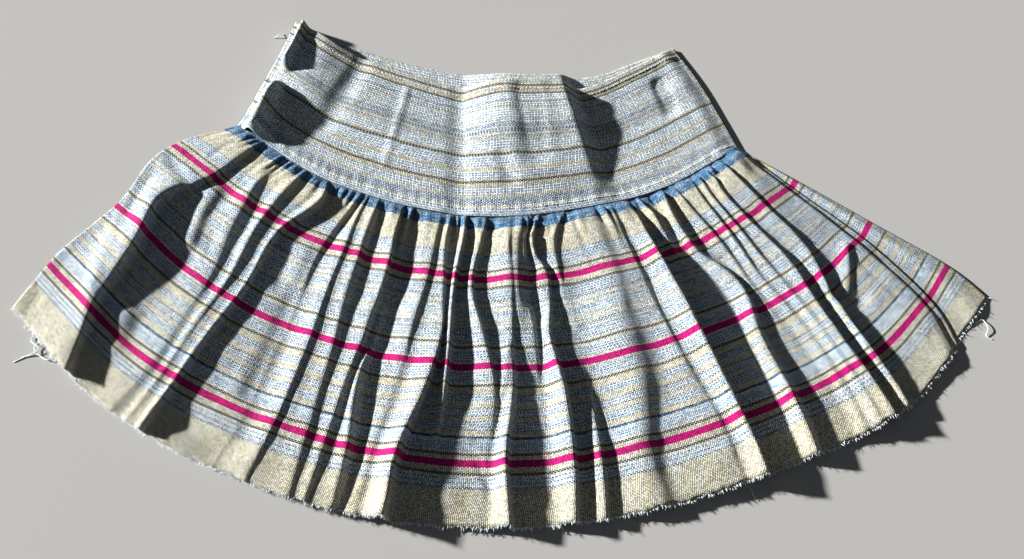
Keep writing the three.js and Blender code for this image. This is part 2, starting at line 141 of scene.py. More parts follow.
SEAM_RISE = 3.2
SEAM_LIFT = 1.2
LIFT_END = 0.5
PUFF_END = 0.1
# A fold's falling side: its least width in millimetres, and its most as a share of the gap
DROP_START, DROP_LIMIT = 2, 0.6
# A small gather between two wide folds: its rise, its place and half width as shares of the gap,
# where it ends down the cloth, and how wide a gap has to be for it
GATHER_RISE, GATHER_AT, GATHER_WIDTH = 2.6, 0.45, 0.4
GATHER_END, GATHER_START = 0.25, 0.5
GATHER_ROOM, GATHER_ROOM_RUN = 10, 8
# How the flounce goes under the yoke, and the puffs pinched into the seam
UNDER_YOKE = -0.008
TUCK_START, TUCK_RUN, TUCK_PRESS = 0.004, 0.03, 0.75
PUFF_COUNT, PUFF_DEPTH, PUFF_LEVEL = 58, 5, 0.7
PUFF_START, PUFF_RUN = 0.02, 0.09
# Where the cloth's spare width lies, in runs of a fold's falling side
PULL_LEAST, PULL_RISE, PULL_END, PULL_FADE = 0.03, 0.3, 1.4, 0.5
# Uneven lines as waves across the cloth: height, rate and start
PUFF_WANDER = [(0.7, 41, 0), (0.45, 97, 1)]
PUFF_MEAN, PUFF_UNEVEN = 0.65, [(0.35, 57, 0)]
HEM_WAVES = [(0.5, 310, 0), (0.5, 173, 2), (0.4, 733, 1)]
HEM_START, HEM_RUN = 0.985, 0.015
# Small unevenness of each panel: height and size in millimetres, and seed
FLOUNCE_CRUMPLE = (0.35, 34, 5)
YOKE_CRUMPLE = (0.3, 26, 11)
# It is the sum of crossed waves: their number, the spread of their sizes, the sum taken as full
CRUMPLE_WAVES, CRUMPLE_SPREAD, CRUMPLE_FULL = 9, (0.6, 1.9), 4.5
# How far the visible front stands over the solid, and how many walls thick a steep side may be
CLOTH_PROUD, THICKEST = 0.6, 3

# Creases: percent across and down, half width in millimetres, rise at both ends
CREASE_COLUMNS = ("across0", "down0", "across1", "down1", "width", "rise0", "rise1")
YOKE_CREASES = [
    (2.9, -12, 3.2, 36, 10, 9, 15),
    (3.6, 60, 3.6, 97, 12, 12, 10),
    (3.6, 71, 3.6, 96, 22, 8, 7),
    (10, 0, 10, 38, 46, 8, 6),
    (20.6, 4, 16.4, 60, 15, -2.2, -2.2),
    (25, 40, 42, 60, 62, 3, 3),
    (32.6, 14, 30.8, 74, 6, 1.3, 0.8),
    (44.8, 8, 45.4, 96, 13, -1.4, -1.6),
    (60.8, 10, 61, 56, 19, -4.2, -3),
    (66, 10, 66, 56, 24, -2, -1.6),
    (54.5, 58, 55.4, 75, 11, -2, -1.6),
    (91.9, 24, 91.3, 45, 13, -4.2, -3.6),
    (97.4, 0, 97.6, 100, 14, 2, 1),
]
YOKE_SIZE = np.array([430, 118])
FLOUNCE_CREASES = [
    (0, 47, 7.4, 86, 10, 2.5, 2.5),
    (1, 27, 6, 31, 9, -2.2, -2.5),
    (1.2, 36, 1.8, 52, 12, -2, -2.5),
    (0.8, 70, 1.2, 80, 9, -1, -1.5),
    (1.2, 92, 1.4, 98, 11, -2, -1.5),
    (3.6, 5, 4.8, 18, 5, -1, -0.8),
    (9.4, 27, 10.6, 44, 12, 2.8, 4),
    (10.2, 76, 11.5, 84, 16, 3.5, 1.5),
    (13.1, 38, 13.6, 43, 8, -1.4, -1.4),
    (11.6, 8, 12, 19, 7, -2.2, -1.6),
    (17.8, 84, 16.4, 97, 12, -1.2, -1),
    (23.2, 31, 23.6, 40, 14, -1.2, -1.4),
    (25.3, 44, 26.2, 74, 17, -2, -2.4),
    (24.4, 27, 24.8, 78, 10, 1, 1),
    (21.5, 92, 25.2, 95, 17, -2.5, -2.5),
    (27.6, 60, 28.3, 74, 12, -1.6, -1.6),
    (31.6, 4, 32.6, 17, 4, -1, -0.7),
    (35.2, 30, 36.5, 49, 7, -1.3, -1),
    (38.2, 4, 40.6, 22, 5, -1.1, -0.6),
    (41.8, 86, 39.8, 96, 11, -1.5, -2),
    (44.2, 88, 43.2, 97, 12, -1.5, -1.5),
    (47.8, 70, 47.2, 92, 16, 1.6, 1.6),
    (50.2, 82, 52, 92, 5, -1.5, -1.5),
    (51.5, 3, 52.4, 9, 6, -1.3, -1),
    (53.2, 45, 52.4, 61, 5, 1.8, 1.4),
    (56.8, 29, 58, 35, 10, -2.4, -3),
    (58.6, 12, 57.9, 20, 8, -2, -1.6),
    (60.2, 27, 60.6, 39, 12, -2, -2.4),
    (65, 5, 66.4, 20, 7, -1, -0.6),
    (67.4, 84, 67.9, 93, 18, -1.4, -1),
    (78.2, 8, 78.3, 22, 6, 1.4, 0.8),
    (81.6, 24, 81.9, 31, 9, -1.6, -1.8),
    (92, 60, 94, 66, 12, -3, -3),
    (97, 51, 93.4, 61, 8, 3, 3.4),
    (97, 53, 97.2, 95, 4, -0.8, -0.6),
    (94.5, 8, 94.7, 14, 6, -1.6, -1.4),
    (96.4, 80, 97.8, 98, 14, 1.4, 1.6),
]
FLOUNCE_SIZE = np.array([690, 265])
# The same cloth out of sight behind: shallow ridges only, since the back lies on the floor
BACK_CREASES = [
    (6, 20, 9, 70, 14, 1.2, 1.6), (14, 55, 12, 95, 18, 1, 1.4), (24, 10, 27, 48, 12, 1.4, 1),
    (37, 60, 33, 92, 20, 1.2, 1.5), (46, 15, 48, 52, 10, 1.5, 1), (57, 64, 60, 96, 16, 1, 1.6),
    (68, 30, 66, 66, 22, 1, 1.2), (79, 12, 83, 44, 12, 1.6, 1.1), (90, 58, 93, 90, 18, 1.1, 1.5),
]
YOKE_BACK_CREASES = [
    (8, 30, 16, 86, 14, 1.2, 0.9), (30, 20, 27, 74, 20, 0.9, 1.2), (62, 34, 70, 62, 16, 1.1, 0.8),
    (84, 22, 88, 80, 12, 1.3, 1),
]
# The waist's hump: where its left side starts to climb and its right side to fall, in percent of
# the width at the waist and the seam; how wide both sides are; its rise down the yoke
HUMP_LEFT, HUMP_LEFT_RUN = (46, 47), 12
HUMP_RIGHT, HUMP_RIGHT_RUN = (68.9, 70.8), 5
HUMP_LEVELS = np.array([0, 0.25, 0.5, 0.72, 1])
HUMP_RISE = np.array([18.5, 19, 13.5, 8.5, 2])
# The front yoke's loft over the back at the waist and the seam, and how soon a panel's sides
# come down to the cloth below, as shares of its width
YOKE_LOFT = (0.8, 2.4)
SIDE_RUN = 0.02
YOKE_SIDES = (0.036, 0.045)
# Turned edges of the yoke: how far they stand up, where they end and how sharply
WAIST_TURN = (0.8, 0.085, 0.012)
SEAM_TURN = (0.9, 0.93, 0.02)
# Fine puckers along the seam's stitches: depth, rate, wander and its rate, place, half width
PUCKER_DEPTH, PUCKER_RATE, PUCKER_WANDER, PUCKER_WANDER_RATE = 0.35, 260, 2, 31
PUCKER_AT, PUCKER_WIDTH = 0.94, 0.07
YOKE_END = 1.016
# The back's margin past the front's right edge: rise, place and half width of its ridge
MARGIN_RIDGE, MARGIN_RIDGE_AT, MARGIN_RIDGE_WIDTH = 2.6, 0.62, 0.38
MARGIN_START = 0.2

# Lengths of the laid flounce, and of its cloth smoothed out
FLOUNCE_LENGTH = 265
SEAM_LENGTH = 482
HEM_LENGTH = 889
FLOUNCE_CLOTH = (980, 272)
YOKE_CLOTH = (470, 127)

# Yarns: how unevenly each is dyed, and how far it covers the warp
Yarn = namedtuple("Yarn", "mottle cover")
YARNS = {
    "cream": Yarn(0.15, 0), "white": Yarn(0.2, 0), "straw": Yarn(0.2, 0), "mist": Yarn(0.4, 0.2),
    "sky": Yarn(0.35, 0.5), "blue": Yarn(0.35, 0.54), "denim": Yarn(0.3, 0.7),
    "dark": Yarn(0, 0.6), "pink": Yarn(0, 0.7),
}
# Stripes of the flounce: the pick at which each begins, counted from the seam to the hem, and
# the yarns of its odd and even picks
FLOUNCE_STRIPES = [
    (0, "denim", "denim"), (13, "cream", "straw"), (35, "blue", "blue"), (37, "blue", "mist"),
    (45, "cream", "white"), (48, "dark", "dark"), (50, "cream", "cream"), (53, "pink", "pink"),
    (58, "cream", "cream"), (62, "dark", "dark"), (64, "blue", "mist"), (73, "blue", "blue"),
    (75, "white", "cream"), (77, "blue", "mist"), (79, "cream", "straw"), (81, "blue", "mist"),
    (86, "sky", "mist"), (88, "straw", "cream"), (90, "sky", "straw"), (93, "cream", "white"),
    (95, "blue", "blue"), (97, "white", "sky"), (100, "blue", "mist"), (107, "cream", "white"),
    (109, "dark", "dark"), (111, "white", "cream"), (113, "blue", "mist"), (121, "white", "cream"),
    (123, "pink", "pink"), (128, "white", "cream"), (130, "blue", "mist"), (138, "cream", "cream"),
    (139, "dark", "dark"), (141, "cream", "straw"), (146, "blue", "mist"), (152, "cream", "straw"),
    (156, "blue", "blue"), (158, "white", "sky"), (161, "blue", "sky"), (163, "cream", "straw"),
    (166, "blue", "mist"), (173, "cream", "straw"), (177, "denim", "blue"), (179, "white", "white"),
    (181, "sky", "mist"), (187, "white", "cream"), (189, "dark", "dark"), (191, "cream", "cream"),
    (194, "pink", "pink"), (199, "cream", "cream"), (203, "dark", "dark"), (205, "white", "white"),
    (207, "blue", "blue"), (208, "white", "white"), (209, "blue", "mist"), (212, "white", "white"),
    (213, "blue", "blue"), (215, "cream", "straw"),
]
# The same for the yoke, from the waist to the seam
YOKE_STRIPES = [
    (0, "cream", "white"), (4, "dark", "dark"), (6, "cream", "straw"), (11, "dark", "dark"),
    (13, "sky", "white"), (19, "blue", "blue"), (20, "blue", "white"), (24, "blue", "blue"),
    (25, "cream", "white"), (27, "sky", "white"), (34, "straw", "white"), (36, "sky", "white"),
    (39, "blue", "blue"), (41, "white", "sky"), (44, "blue", "blue"), (46, "cream", "white"),
    (48, "blue", "sky"), (50, "cream", "straw"), (52, "sky", "white"), (60, "straw", "cream"),
    (62, "dark", "dark"), (64, "sky", "white"), (70, "sky", "white"), (74, "cream", "straw"),
    (77, "sky", "white"), (83, "cream", "white"), (85, "dark", "dark"), (87, "cream", "straw"),
    (90, "sky", "white"), (96, "cream", "white"), (99, "blue", "sky"), (105, "straw", "white"),
    (107, "sky", "white"),
]
# The back yoke shows its inner face at the waist, where the cloth is turned in
YOKE_BACK_STRIPES = [
    (0, "white", "white"), (3, "sky", "white"), (7, "blue", "white"), (11, "sky", "white"),
] + YOKE_STRIPES[4:]
RAMP_STOPS = 30
PICK_COUNT = 256

# Drawing of the linen; lengths are millimetres of smoothed-out cloth
WANDER, WANDER_SCALE = 2.2, 0.03
STREAK_RUN, STREAK_JUMP, STREAK_CONTRAST = 10.0, 7.31, 6.0
SLUB_HEIGHT, SLUB_SCALE = 4.0, 0.05
CROSSING, WARP_BOW, PICK_BOW = 0.5, 0.95, 0.8
COVER_LIFT, FULL_COVER, FULL_RATE = 0.6, 0.55, 8.0
# DEEP_SHADE is painted shade: how dark a warp shows where picks cover it almost wholly
WARP_CREAM, DEEP_SHADE = 0.6, 0.3
EDGE_SHARPNESS = 3.0
# Painted shade between the threads: the thread height below which it is full, and how fast it lifts
# towards the tops
THREAD_SHADE_START, THREAD_SHADE_RATE = 0.55, 1.4
GRAIN_LEAST, GRAIN_RANGE = 0.4, 0.8
LINEN_RELIEF = {"Strength": 0.8, "Distance": 0.0003}
LINEN_FINISH = {"Roughness": 0.9, "Specular IOR Level": 0.2, "Sheen Weight": 0.08,
                "Sheen Roughness": 0.5}
# Spun yarn of the threads and stitches, and the floor
YARN_SLUB_SCALE, YARN_DULL = 900.0, 0.8
YARN_RELIEF = {"Strength": 0.4, "Distance": 0.0001}
YARN_FINISH = {"Roughness": 0.8, "Sheen Weight": 0.2}
FLOOR_FINISH = {"Roughness": 0.9}

# Stitch rows by the share of the yoke's depth at which they run, and the stitches' sizes
STITCH_ROWS = {"waist_stitches": 0.07, "seam_stitches": 0.955}
STITCH_PITCH, STITCH_LENGTH, STITCH_THICKNESS = 0.0036, 0.0026, 0.0005
STITCH_LIFT = 0.1
# The frayed warp ends: thickness, and how much of each is held in the cloth
FRAY_THICKNESS, FRAY_HELD = 0.00055, 0.001

# Threads hanging from the hem and the waist: radius, lift off the floor, plan points
LOOSE_THREADS = [
    (0.4, 3, (-398, -60), (-384, -66), (-378, -76), (-388, -86), (-381, -95), (-374, -98)),
    (0.35, 2, (-393, -66), (-378, -64), (-372, -80), (-374, -97), (-388, -92), (-404, -99)),
    (0.35, 2.5, (-387, -72), (-392, -80), (-384, -88), (-391, -93), (-398, -95)),
    (0.35, 2, (-203, 222), (-207, 220), (-212, 218)),
    (0.4, 2, (396, -64), (402, -62), (405, -70), (403, -76), (408, -79)),
    (0.3, 1.5, (193, -203), (197, -205), (199, -211), (203, -215)),
]
THREAD_STEPS = 40

# What the camera looks at, in millimetres, and half the floor's side in metres
CAMERA_TARGET = (8.8, -23.1, 0)
SENSOR_WIDTH = 36
FLOOR_HALF = 6.0
SUN_COLOUR = (1.0, 0.98, 0.95)
SKY_COLOUR = (0.85, 0.92, 1.0, 1)

# Mesh steps of the visible cloth; the front's rows lie closer together at the seam
FRONT_COLUMNS, FRONT_ROWS, ROWS_AT_SEAM = 420, 116, 0.6
BACK_COLUMNS, BACK_ROWS = 250, 70
MARGIN_COLUMNS = 12
YOKE_COLUMNS, YOKE_ROWS = 210, 90


def smooth(t):
    c = np.clip(t, 0, 1)
    return c * c * (3 - 2 * c)


def mix(a, b, t):
    return a + (b - a) * t


def waves(u, table):
    return sum(height * np.sin(u * rate + start) for height, rate, start in table)


def through(stations, values, at):
    """A smooth line through values given at rising stations; values may have more columns."""
    last = len(stations) - 1
    i = int(np.clip(np.searchsorted(stations, at, side="left") - 1, 0, last - 1))
    span = stations[i + 1] - stations[i]
    t = min(max((at - stations[i]) / span, 0), 1)

    def slope(j):
        a, b = max(j - 1, 0), min(j + 1, last)
        return (values[b] - values[a]) / (stations[b] - stations[a])

    t2, t3 = t * t, t * t * t
    return ((2 * t3 - 3 * t2 + 1) * values[i] + (t3 - 2 * t2 + t) * span * slope(i)
            + (3 * t2 - 2 * t3) * values[i + 1] + (t3 - t2) * span * slope(i + 1))


class Curve:
    """A smooth plan line through a few points, read by its share of length."""
    steps = 80

    def __init__(self, points):
        p = np.array(points, float) - CENTRE
        p = np.vstack([2 * p[0] - p[1], p, 2 * p[-1] - p[-2]])
        t = np.linspace(0, 1, self.steps, endpoint=False)[:, None]
        runs = []
        for a, b, c, d in zip(p, p[1:], p[2:], p[3:]):
            runs.append(0.5 * (2 * b + (c - a) * t + (2 * a - 5 * b + 4 * c - d) * t ** 2
                               + (3 * b - a - 3 * c + d) * t ** 3))
        self.points = np.vstack(runs + [p[-2:-1]])
        along = np.cumsum(np.linalg.norm(np.diff(self.points, axis=0), axis=1))
        self.share = np.r_[0, along] / along[-1]

    def at(self, u):
        u = np.atleast_1d(u)
        return np.stack([np.interp(u, self.share, self.points[:, k]) for k in (0, 1)], -1)


class Panel:
    """A panel's plan: ruled from its top edge to its bottom edge, each side with its own bulge."""

    def __init__(self, top, bottom, left, right):
        self.top, self.bottom, self.left, self.right = map(Curve, (top, bottom, left, right))

    def at(self, u, v):
        u = np.atleast_1d(u)
        ruled = mix(self.top.at(u), self.bottom.at(u), v)
        v_side = min(max(v, 0), 1)
        left = self.left.at(v_side)[0] - mix(self.top.at(0)[0], self.bottom.at(0)[0], v_side)
        right = self.right.at(v_side)[0] - mix(self.top.at(1)[0], self.bottom.at(1)[0], v_side)
        return ruled + np.outer((1 - u) ** SIDE_POWER, left) + np.outer(u ** SIDE_POWER, right)

    def downward(self, u, v, length):
        """The way down the panel for each millimetre of its length."""
        step = 0.01
        return (self.at(u, v + step) - self.at(u, v)) / (step * length)

    def sideways(self, u, v):
        step = 0.002
        run = self.at(np.minimum(u + step, 1), v) - self.at(np.maximum(u - step, 0), v)
        return run / np.linalg.norm(run, axis=1)[:, None]


Crests = namedtuple("Crests", "at rise foot fill lean gap drop")


def row_width(v):
    return mix(SEAM_LENGTH, HEM_LENGTH, v)


def fold_column(name):
    return FOLDS[:, FOLD_COLUMNS.index(name)]


def crests_at(v):
    """The crests met along one row, between the panel's two sides: arrays by name."""
    v = max(v, 0)
    places, rises = FOLDS[:, :7].T, FOLDS[:, [7, 7, 8, 9, 10, 11, 12]].T
    rise = mix(SEAM_RISE, np.maximum(through(LEVELS, rises, v), 0), smooth(v / PUFF_END))
    change = smooth((v - STEP_CHANGE_START) / STEP_CHANGE_RUN)
    step = mix(fold_column("step_top"), fold_column("step_hem"), change)
    at = np.r_[0, through(LEVELS, places, v) / 100, 1]
    rise = np.r_[0, rise, 0]
    foot = rise * (1 - np.r_[0, step, 0])
    fall = np.r_[0, fold_column("fall"), 0]
    gap = np.diff(at)
    drop = (DROP_START + fall * (rise - foot))[:-1] / row_width(v)
    return Crests(at, rise, foot, np.r_[1, fold_column("fill"), 1], np.r_[0, fold_column("lean"), 0],
                  gap, np.minimum(drop, gap * DROP_LIMIT))


def folds_at(u, v):
    """Rise and lean of the folds along one row."""
    c = crests_at(v)
    i = np.clip(np.searchsorted(c.at, u, side="left") - 1, 0, len(c.gap) - 1)
    climb = c.fill[i + 1] * (c.gap[i] - c.drop[i])
    down = (c.rise[i] - c.foot[i]) * (1 - smooth((u - c.at[i]) / c.drop[i]))
    up = (c.rise[i + 1] - c.foot[i]) * smooth((u - c.at[i + 1] + climb) / climb)
    between = (u - c.at[i] - c.drop[i]) / (c.gap[i] - c.drop[i])
    room = smooth((c.gap[i] * row_width(v) - GATHER_ROOM) / GATHER_ROOM_RUN)
    gather = GATHER_RISE * room * smooth(1 - np.abs(between - GATHER_AT) / GATHER_WIDTH)
    gather = gather * (1 - smooth(v / GATHER_END)) * smooth(v / PUFF_END + GATHER_START)
    return c.foot[i] + down + up + gather, mix(c.lean[i], c.lean[i + 1], (u - c.at[i]) / c.gap[i])


def hump_at(s, t):
    t = min(max(t, 0), 1)
    foot = mix(*HUMP_LEFT, t) / 100
    crest = mix(*HUMP_RIGHT, t) / 100
    climb = 1 - np.clip(1 - (s - foot) / (HUMP_LEFT_RUN / 100), 0, 1) ** 2
    fall = 1 - smooth((s - crest) / (HUMP_RIGHT_RUN / 100))
    return through(HUMP_LEVELS, HUMP_RISE, t) * climb * fall


def creases_at(s, t, table, size):
    """Soft ridges and troughs, each along a straight line on the flat cloth."""
    p = np.stack([s, np.full_like(s, t)], -1) * size
    total = np.zeros_like(s)
    for row in table:
        crease = dict(zip(CREASE_COLUMNS, row))
        a = np.array([crease["across0"], crease["down0"]]) / 100 * size
        line = np.array([crease["across1"], crease["down1"]]) / 100 * size - a
        along = np.clip((p - a) @ line / (line @ line), 0, 1)
        away = np.linalg.norm(p - a - along[:, None] * line, axis=1)
        total += mix(crease["rise0"], crease["rise1"], along) * smooth(1 - away / crease["width"])
    return total


def edge_fade(u, left=SIDE_RUN, right=SIDE_RUN):
    return smooth(np.minimum(u / left, (1 - u) / right))


def crumple(place, height, size, seed):
    """A smooth uneven surface from a few crossed waves."""
    draw = np.random.default_rng(seed)
    total = np.zeros(len(place))
    for _ in range(CRUMPLE_WAVES):
        turn, phase = draw.uniform(0, math.tau, 2)
        wave = math.tau / (size * draw.uniform(*CRUMPLE_SPREAD))
        total += np.sin((place @ (math.cos(turn), math.sin(turn))) * wave + phase)
    return height * total / CRUMPLE_FULL


def crimp(u, v):
    """Fine gathers pinched into the yoke seam, on and between the main ones."""
    along = u * PUFF_COUNT + waves(u, PUFF_WANDER)
    puffs = np.sqrt(np.abs(np.sin(math.pi * along))) - PUFF_LEVEL
    uneven = PUFF_MEAN + waves(u, PUFF_UNEVEN)
    return PUFF_DEPTH * puffs * (1 - smooth((v - PUFF_START) / PUFF_RUN)) * uneven


def tucked(v):
    """1 under the yoke's lower edge, 0 where the flounce has come out from under it."""
    return 1 - smooth((v - TUCK_START) / TUCK_RUN)


def ragged(u, v):
    """How far the raw hem wanders out and in, in millimetres, near the last row."""
    return waves(u, HEM_WAVES) * smooth((v - HEM_START) / HEM_RUN)


def front_floor(u, v):
    lift = (SEAM_LIFT + hump_at(u, 1)) * (1 - smooth(v / LIFT_END))
    return WALL + SEAM_GAP + edge_fade(u) * (FLOOR_CLEAR - SEAM_GAP + lift)


Row = namedtuple("Row", "down low high pull")


def gathered_pull(u, v):
    """Where the cloth is taken up: 1 on the falling side of each fold, 0 where its face is smooth."""
    c = crests_at(v)
    i = np.clip(np.searchsorted(c.at, u, side="left") - 1, 0, len(c.gap) - 1)
    beyond = (u - c.at[i]) / c.drop[i]
    return PULL_LEAST + smooth(beyond / PULL_RISE) * smooth((PULL_END - beyond) / PULL_FADE)


def wall_rows(plan_point, sideways, lean, low, high):
    """Both faces of one row of cloth, tipped sideways by the lean."""
    def face(z):
        return np.column_stack([plan_point + sideways * (lean * z)[:, None], z])
    return face(low), face(high)


def up_wall(rise, u, v, lean):
    """The wall's height measured straight up, so that a steep side keeps its thickness."""
    slope = np.gradient(rise, u * row_width(max(v, 0)))
    return WALL * np.minimum(np.hypot(1 + lean * slope, slope), THICKEST)


def front_rows():
    plan = Panel(SEAM, HEM, FLOUNCE_LEFT, FLOUNCE_RIGHT)
    u = np.linspace(0, 1, FRONT_COLUMNS)
    t = np.linspace(0, 1, FRONT_ROWS)
    for v in mix(UNDER_YOKE, 1, (1 - ROWS_AT_SEAM) * t + ROWS_AT_SEAM * t ** 2):
        rise, lean = folds_at(u, v)
        pull = gathered_pull(u, v)
        rise = rise * (1 - TUCK_PRESS * tucked(v))
        place = plan.at(u, v)
        place = place + plan.downward(u, v, FLOUNCE_LENGTH) * ragged(u, v)[:, None]
        detail = crimp(u, v) * (1 - tucked(v)) + crumple(place, *FLOUNCE_CRUMPLE)
        detail = detail + creases_at(u, v, FLOUNCE_CREASES, FLOUNCE_SIZE)
        high = front_floor(u, v) + WALL + rise + edge_fade(u) * (detail + CLOTH_PROUD)
        low = high - up_wall(rise, u, v, lean)
        yield Row(v, *wall_rows(place, plan.sideways(u, v), lean, low, high), pull)


def back_rows():
    plan = Panel(SEAM, HEM, FLOUNCE_LEFT, FLOUNCE_RIGHT)
    margin = Curve(BACK_RIGHT)
    u = np.linspace(0, 1, BACK_COLUMNS)
    w = np.arange(1, MARGIN_COLUMNS + 1) / MARGIN_COLUMNS
    for t in np.linspace(0, 1, BACK_ROWS):
        v = mix(0, 1 - BACK_HEM_LIFT / FLOUNCE_LENGTH, t)
        rise, lean = folds_at(u, v)
        low = NEST * rise + creases_at(u, v, BACK_CREASES, FLOUNCE_SIZE)
        inner = wall_rows(plan.at(u, v), plan.sideways(u, v), lean, low, low + WALL)
        edge, outer = plan.at(1, v)[0], margin.at(v)[0]
        place = mix(edge, outer, w[:, None])
        ridge = smooth(1 - np.abs(w - MARGIN_RIDGE_AT) / MARGIN_RIDGE_WIDTH)
        ridge = MARGIN_RIDGE * smooth(v / MARGIN_START) * ridge
        outward = wall_rows(place, np.zeros_like(place), w * 0, ridge, ridge + WALL)
        yield Row(v, *[np.vstack([a, b]) for a, b in zip(inner, outward)], 1)


def turned_edges(t):
    """The extra cloth where the yoke is turned under at the waist and at the seam."""
    (waist, waist_end, waist_run), (seam, seam_start, seam_run) = WAIST_TURN, SEAM_TURN
    return waist * smooth((waist_end - t) / waist_run) + seam * smooth((t - seam_start) / seam_run)


def pucker(s, t):
    """Fine waves that the seam's stitches pull into the yoke."""
    wave = np.sin(s * PUCKER_RATE + PUCKER_WANDER * np.sin(s * PUCKER_WANDER_RATE))
    return PUCKER_DEPTH * wave * smooth(1 - abs(t - PUCKER_AT) / PUCKER_WIDTH)


def yoke_front_rows():
    plan = Panel(WAIST_FRONT, SEAM, YOKE_LEFT, YOKE_RIGHT)
    s = np.linspace(0, 1, YOKE_COLUMNS)
    for t in np.linspace(0, YOKE_END, YOKE_ROWS):
        place = plan.at(s, t)
        loft = FLOOR_CLEAR + mix(*YOKE_LOFT, t) + creases_at(s, t, YOKE_CREASES, YOKE_SIZE)
        lift = np.maximum(edge_fade(s, *YOKE_SIDES) * loft, SEAM_GAP) + hump_at(s, t)
        detail = pucker(s, t) + turned_edges(t) + crumple(place, *YOKE_CRUMPLE)
        low = WALL + lift + edge_fade(s) * detail
        yield Row(t, *wall_rows(place, np.zeros_like(place), s * 0, low, low + WALL), 1)


def yoke_back_rows():
    plan = Panel(WAIST_BACK, SEAM, YOKE_LEFT, YOKE_RIGHT)
    s = np.linspace(0, 1, YOKE_COLUMNS)
    for t in np.linspace(0, 1, YOKE_ROWS):
        place = plan.at(s, t)
        creases = creases_at(s, t, YOKE_BACK_CREASES, YOKE_SIZE)
        low = BACK_HUMP * hump_at(s, t) + edge_fade(s) * creases
        yield Row(t, *wall_rows(place, np.zeros_like(place), s * 0, low, low + WALL), 1)


def new_mesh(name, points, faces):
    """A smooth-shaded mesh from metres and rows of point numbers."""
    mesh = bpy.data.meshes.new(name)
    mesh.from_pydata(points, [], faces)
    mesh.polygons.foreach_set("use_smooth", [True] * len(faces))
    return mesh


def in_scene(name, data):
    """A new object at the origin, linked to the scene."""
    piece = bpy.data.objects.new(name, data)
    bpy.context.collection.objects.link(piece)
    return piece


def cloth_share(run, pull, width):
    """Share of the cloth's width along a row; what the row lacks is taken up where it is pulled."""
    pull = np.broadcast_to(pull, len(run) + 1)
    pull = (pull[1:] + pull[:-1]) / 2
    spare = max(width - run.sum(), 0)
    taken = spare * run * pull / max((run * pull).sum(), 1e-6)
    share = np.r_[0, np.cumsum(run + taken)]
    return share / share[-1]


def cloth_object(name, rows, cloth, material):
    """A closed cloth wall from rows of low and high points, with its smoothed-out size as UVs."""
    rows = list(rows)
    low = np.array([row.low for row in rows])
    high = np.array([row.high for row in rows])
    count, columns = high.shape[:2]
    runs = np.linalg.norm(np.diff(high, axis=1), axis=2)
    share = np.array([cloth_share(run, row.pull, cloth[0]) for run, row in zip(runs, rows)])
    down = np.array([row.down for row in rows])[:, None] * np.ones((1, columns))
    flat = np.stack([share * cloth[0], down * cloth[1]], -1).reshape(-1, 2)
    points = np.vstack([high.reshape(-1, 3), low.reshape(-1, 3)]) * MM
    ids = np.arange(count * columns).reshape(count, columns)
    under = ids + count * columns

    def quads(a, b, c, d):
        return np.stack([a, b, c, d], -1).reshape(-1, 4)

    faces = np.vstack([
        quads(ids[:-1, :-1], ids[1:, :-1], ids[1:, 1:], ids[:-1, 1:]),
        quads(under[:-1, :-1], under[:-1, 1:], under[1:, 1:], under[1:, :-1]),
        quads(ids[:-1, 0], under[:-1, 0], under[1:, 0], ids[1:, 0]),
        quads(ids[1:, -1], under[1:, -1], under[:-1, -1], ids[:-1, -1]),
        quads(ids[0, 1:], under[0, 1:], under[0, :-1], ids[0, :-1]),
        quads(ids[-1, :-1], under[-1, :-1], under[-1, 1:], ids[-1, 1:]),
    ])
    mesh = new_mesh(name, points.tolist(), faces.tolist())
    layer = mesh.uv_layers.new(name="cloth")
    layer.data.foreach_set("uv", np.vstack([flat, flat])[faces.ravel()].ravel())
    mesh.materials.append(material)
    mesh.update()
    return in_scene(name, mesh)


def finish_piece(piece, slot, *nodes):
    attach(piece, BODY)
    if nodes:
        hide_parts(*nodes)


class NodeTree:
    """Adds nodes to a tree by type, sets their inputs and links them by socket."""

    def __init__(self, tree):
        self.tree = tree

    def add(self, kind, inputs=(), **settings):
        node = self.tree.nodes.new(kind)
        for key, value in settings.items():
            setattr(node, key, value)
        for key, value in dict(inputs).items():
            self.feed(node.inputs[key], value)
        return node

    def feed(self, socket, value):
        if isinstance(value, bpy.types.NodeSocket):
            self.tree.links.new(value, socket)
        else:
            socket.default_value = value

    def math(self, operation, a, b=0.0, clamp=False):
        node = self.add("ShaderNodeMath", {0: a, 1: b}, operation=operation, use_clamp=clamp)
        return node.outputs[0]

    def blend(self, factor, a, b, kind="MIX"):
        node = self.add("ShaderNodeMix", data_type="RGBA", blend_type=kind)
        self.feed(node.inputs[0], factor)
        self.feed(node.inputs[6], a)
        self.feed(node.inputs[7], b)
        return node.outputs[2]

    def lerp(self, factor, a, b):
        return self.add("ShaderNodeMix", {0: factor, 2: a, 3: b}).outputs[0]

    def vector(self, x, y, z=0.0):
        return self.add("ShaderNodeCombineXYZ", {0: x, 1: y, 2: z}).outputs[0]


def new_material(name, finish):
    """A material with the given shader settings, its shader and the helper for its nodes."""
    material = bpy.data.materials.new(name)
    material.use_nodes = True
    shader = material.node_tree.nodes["Principled BSDF"]
    for key, value in finish.items():
        shader.inputs[key].default_value = value
    return material, shader, NodeTree(material.node_tree)


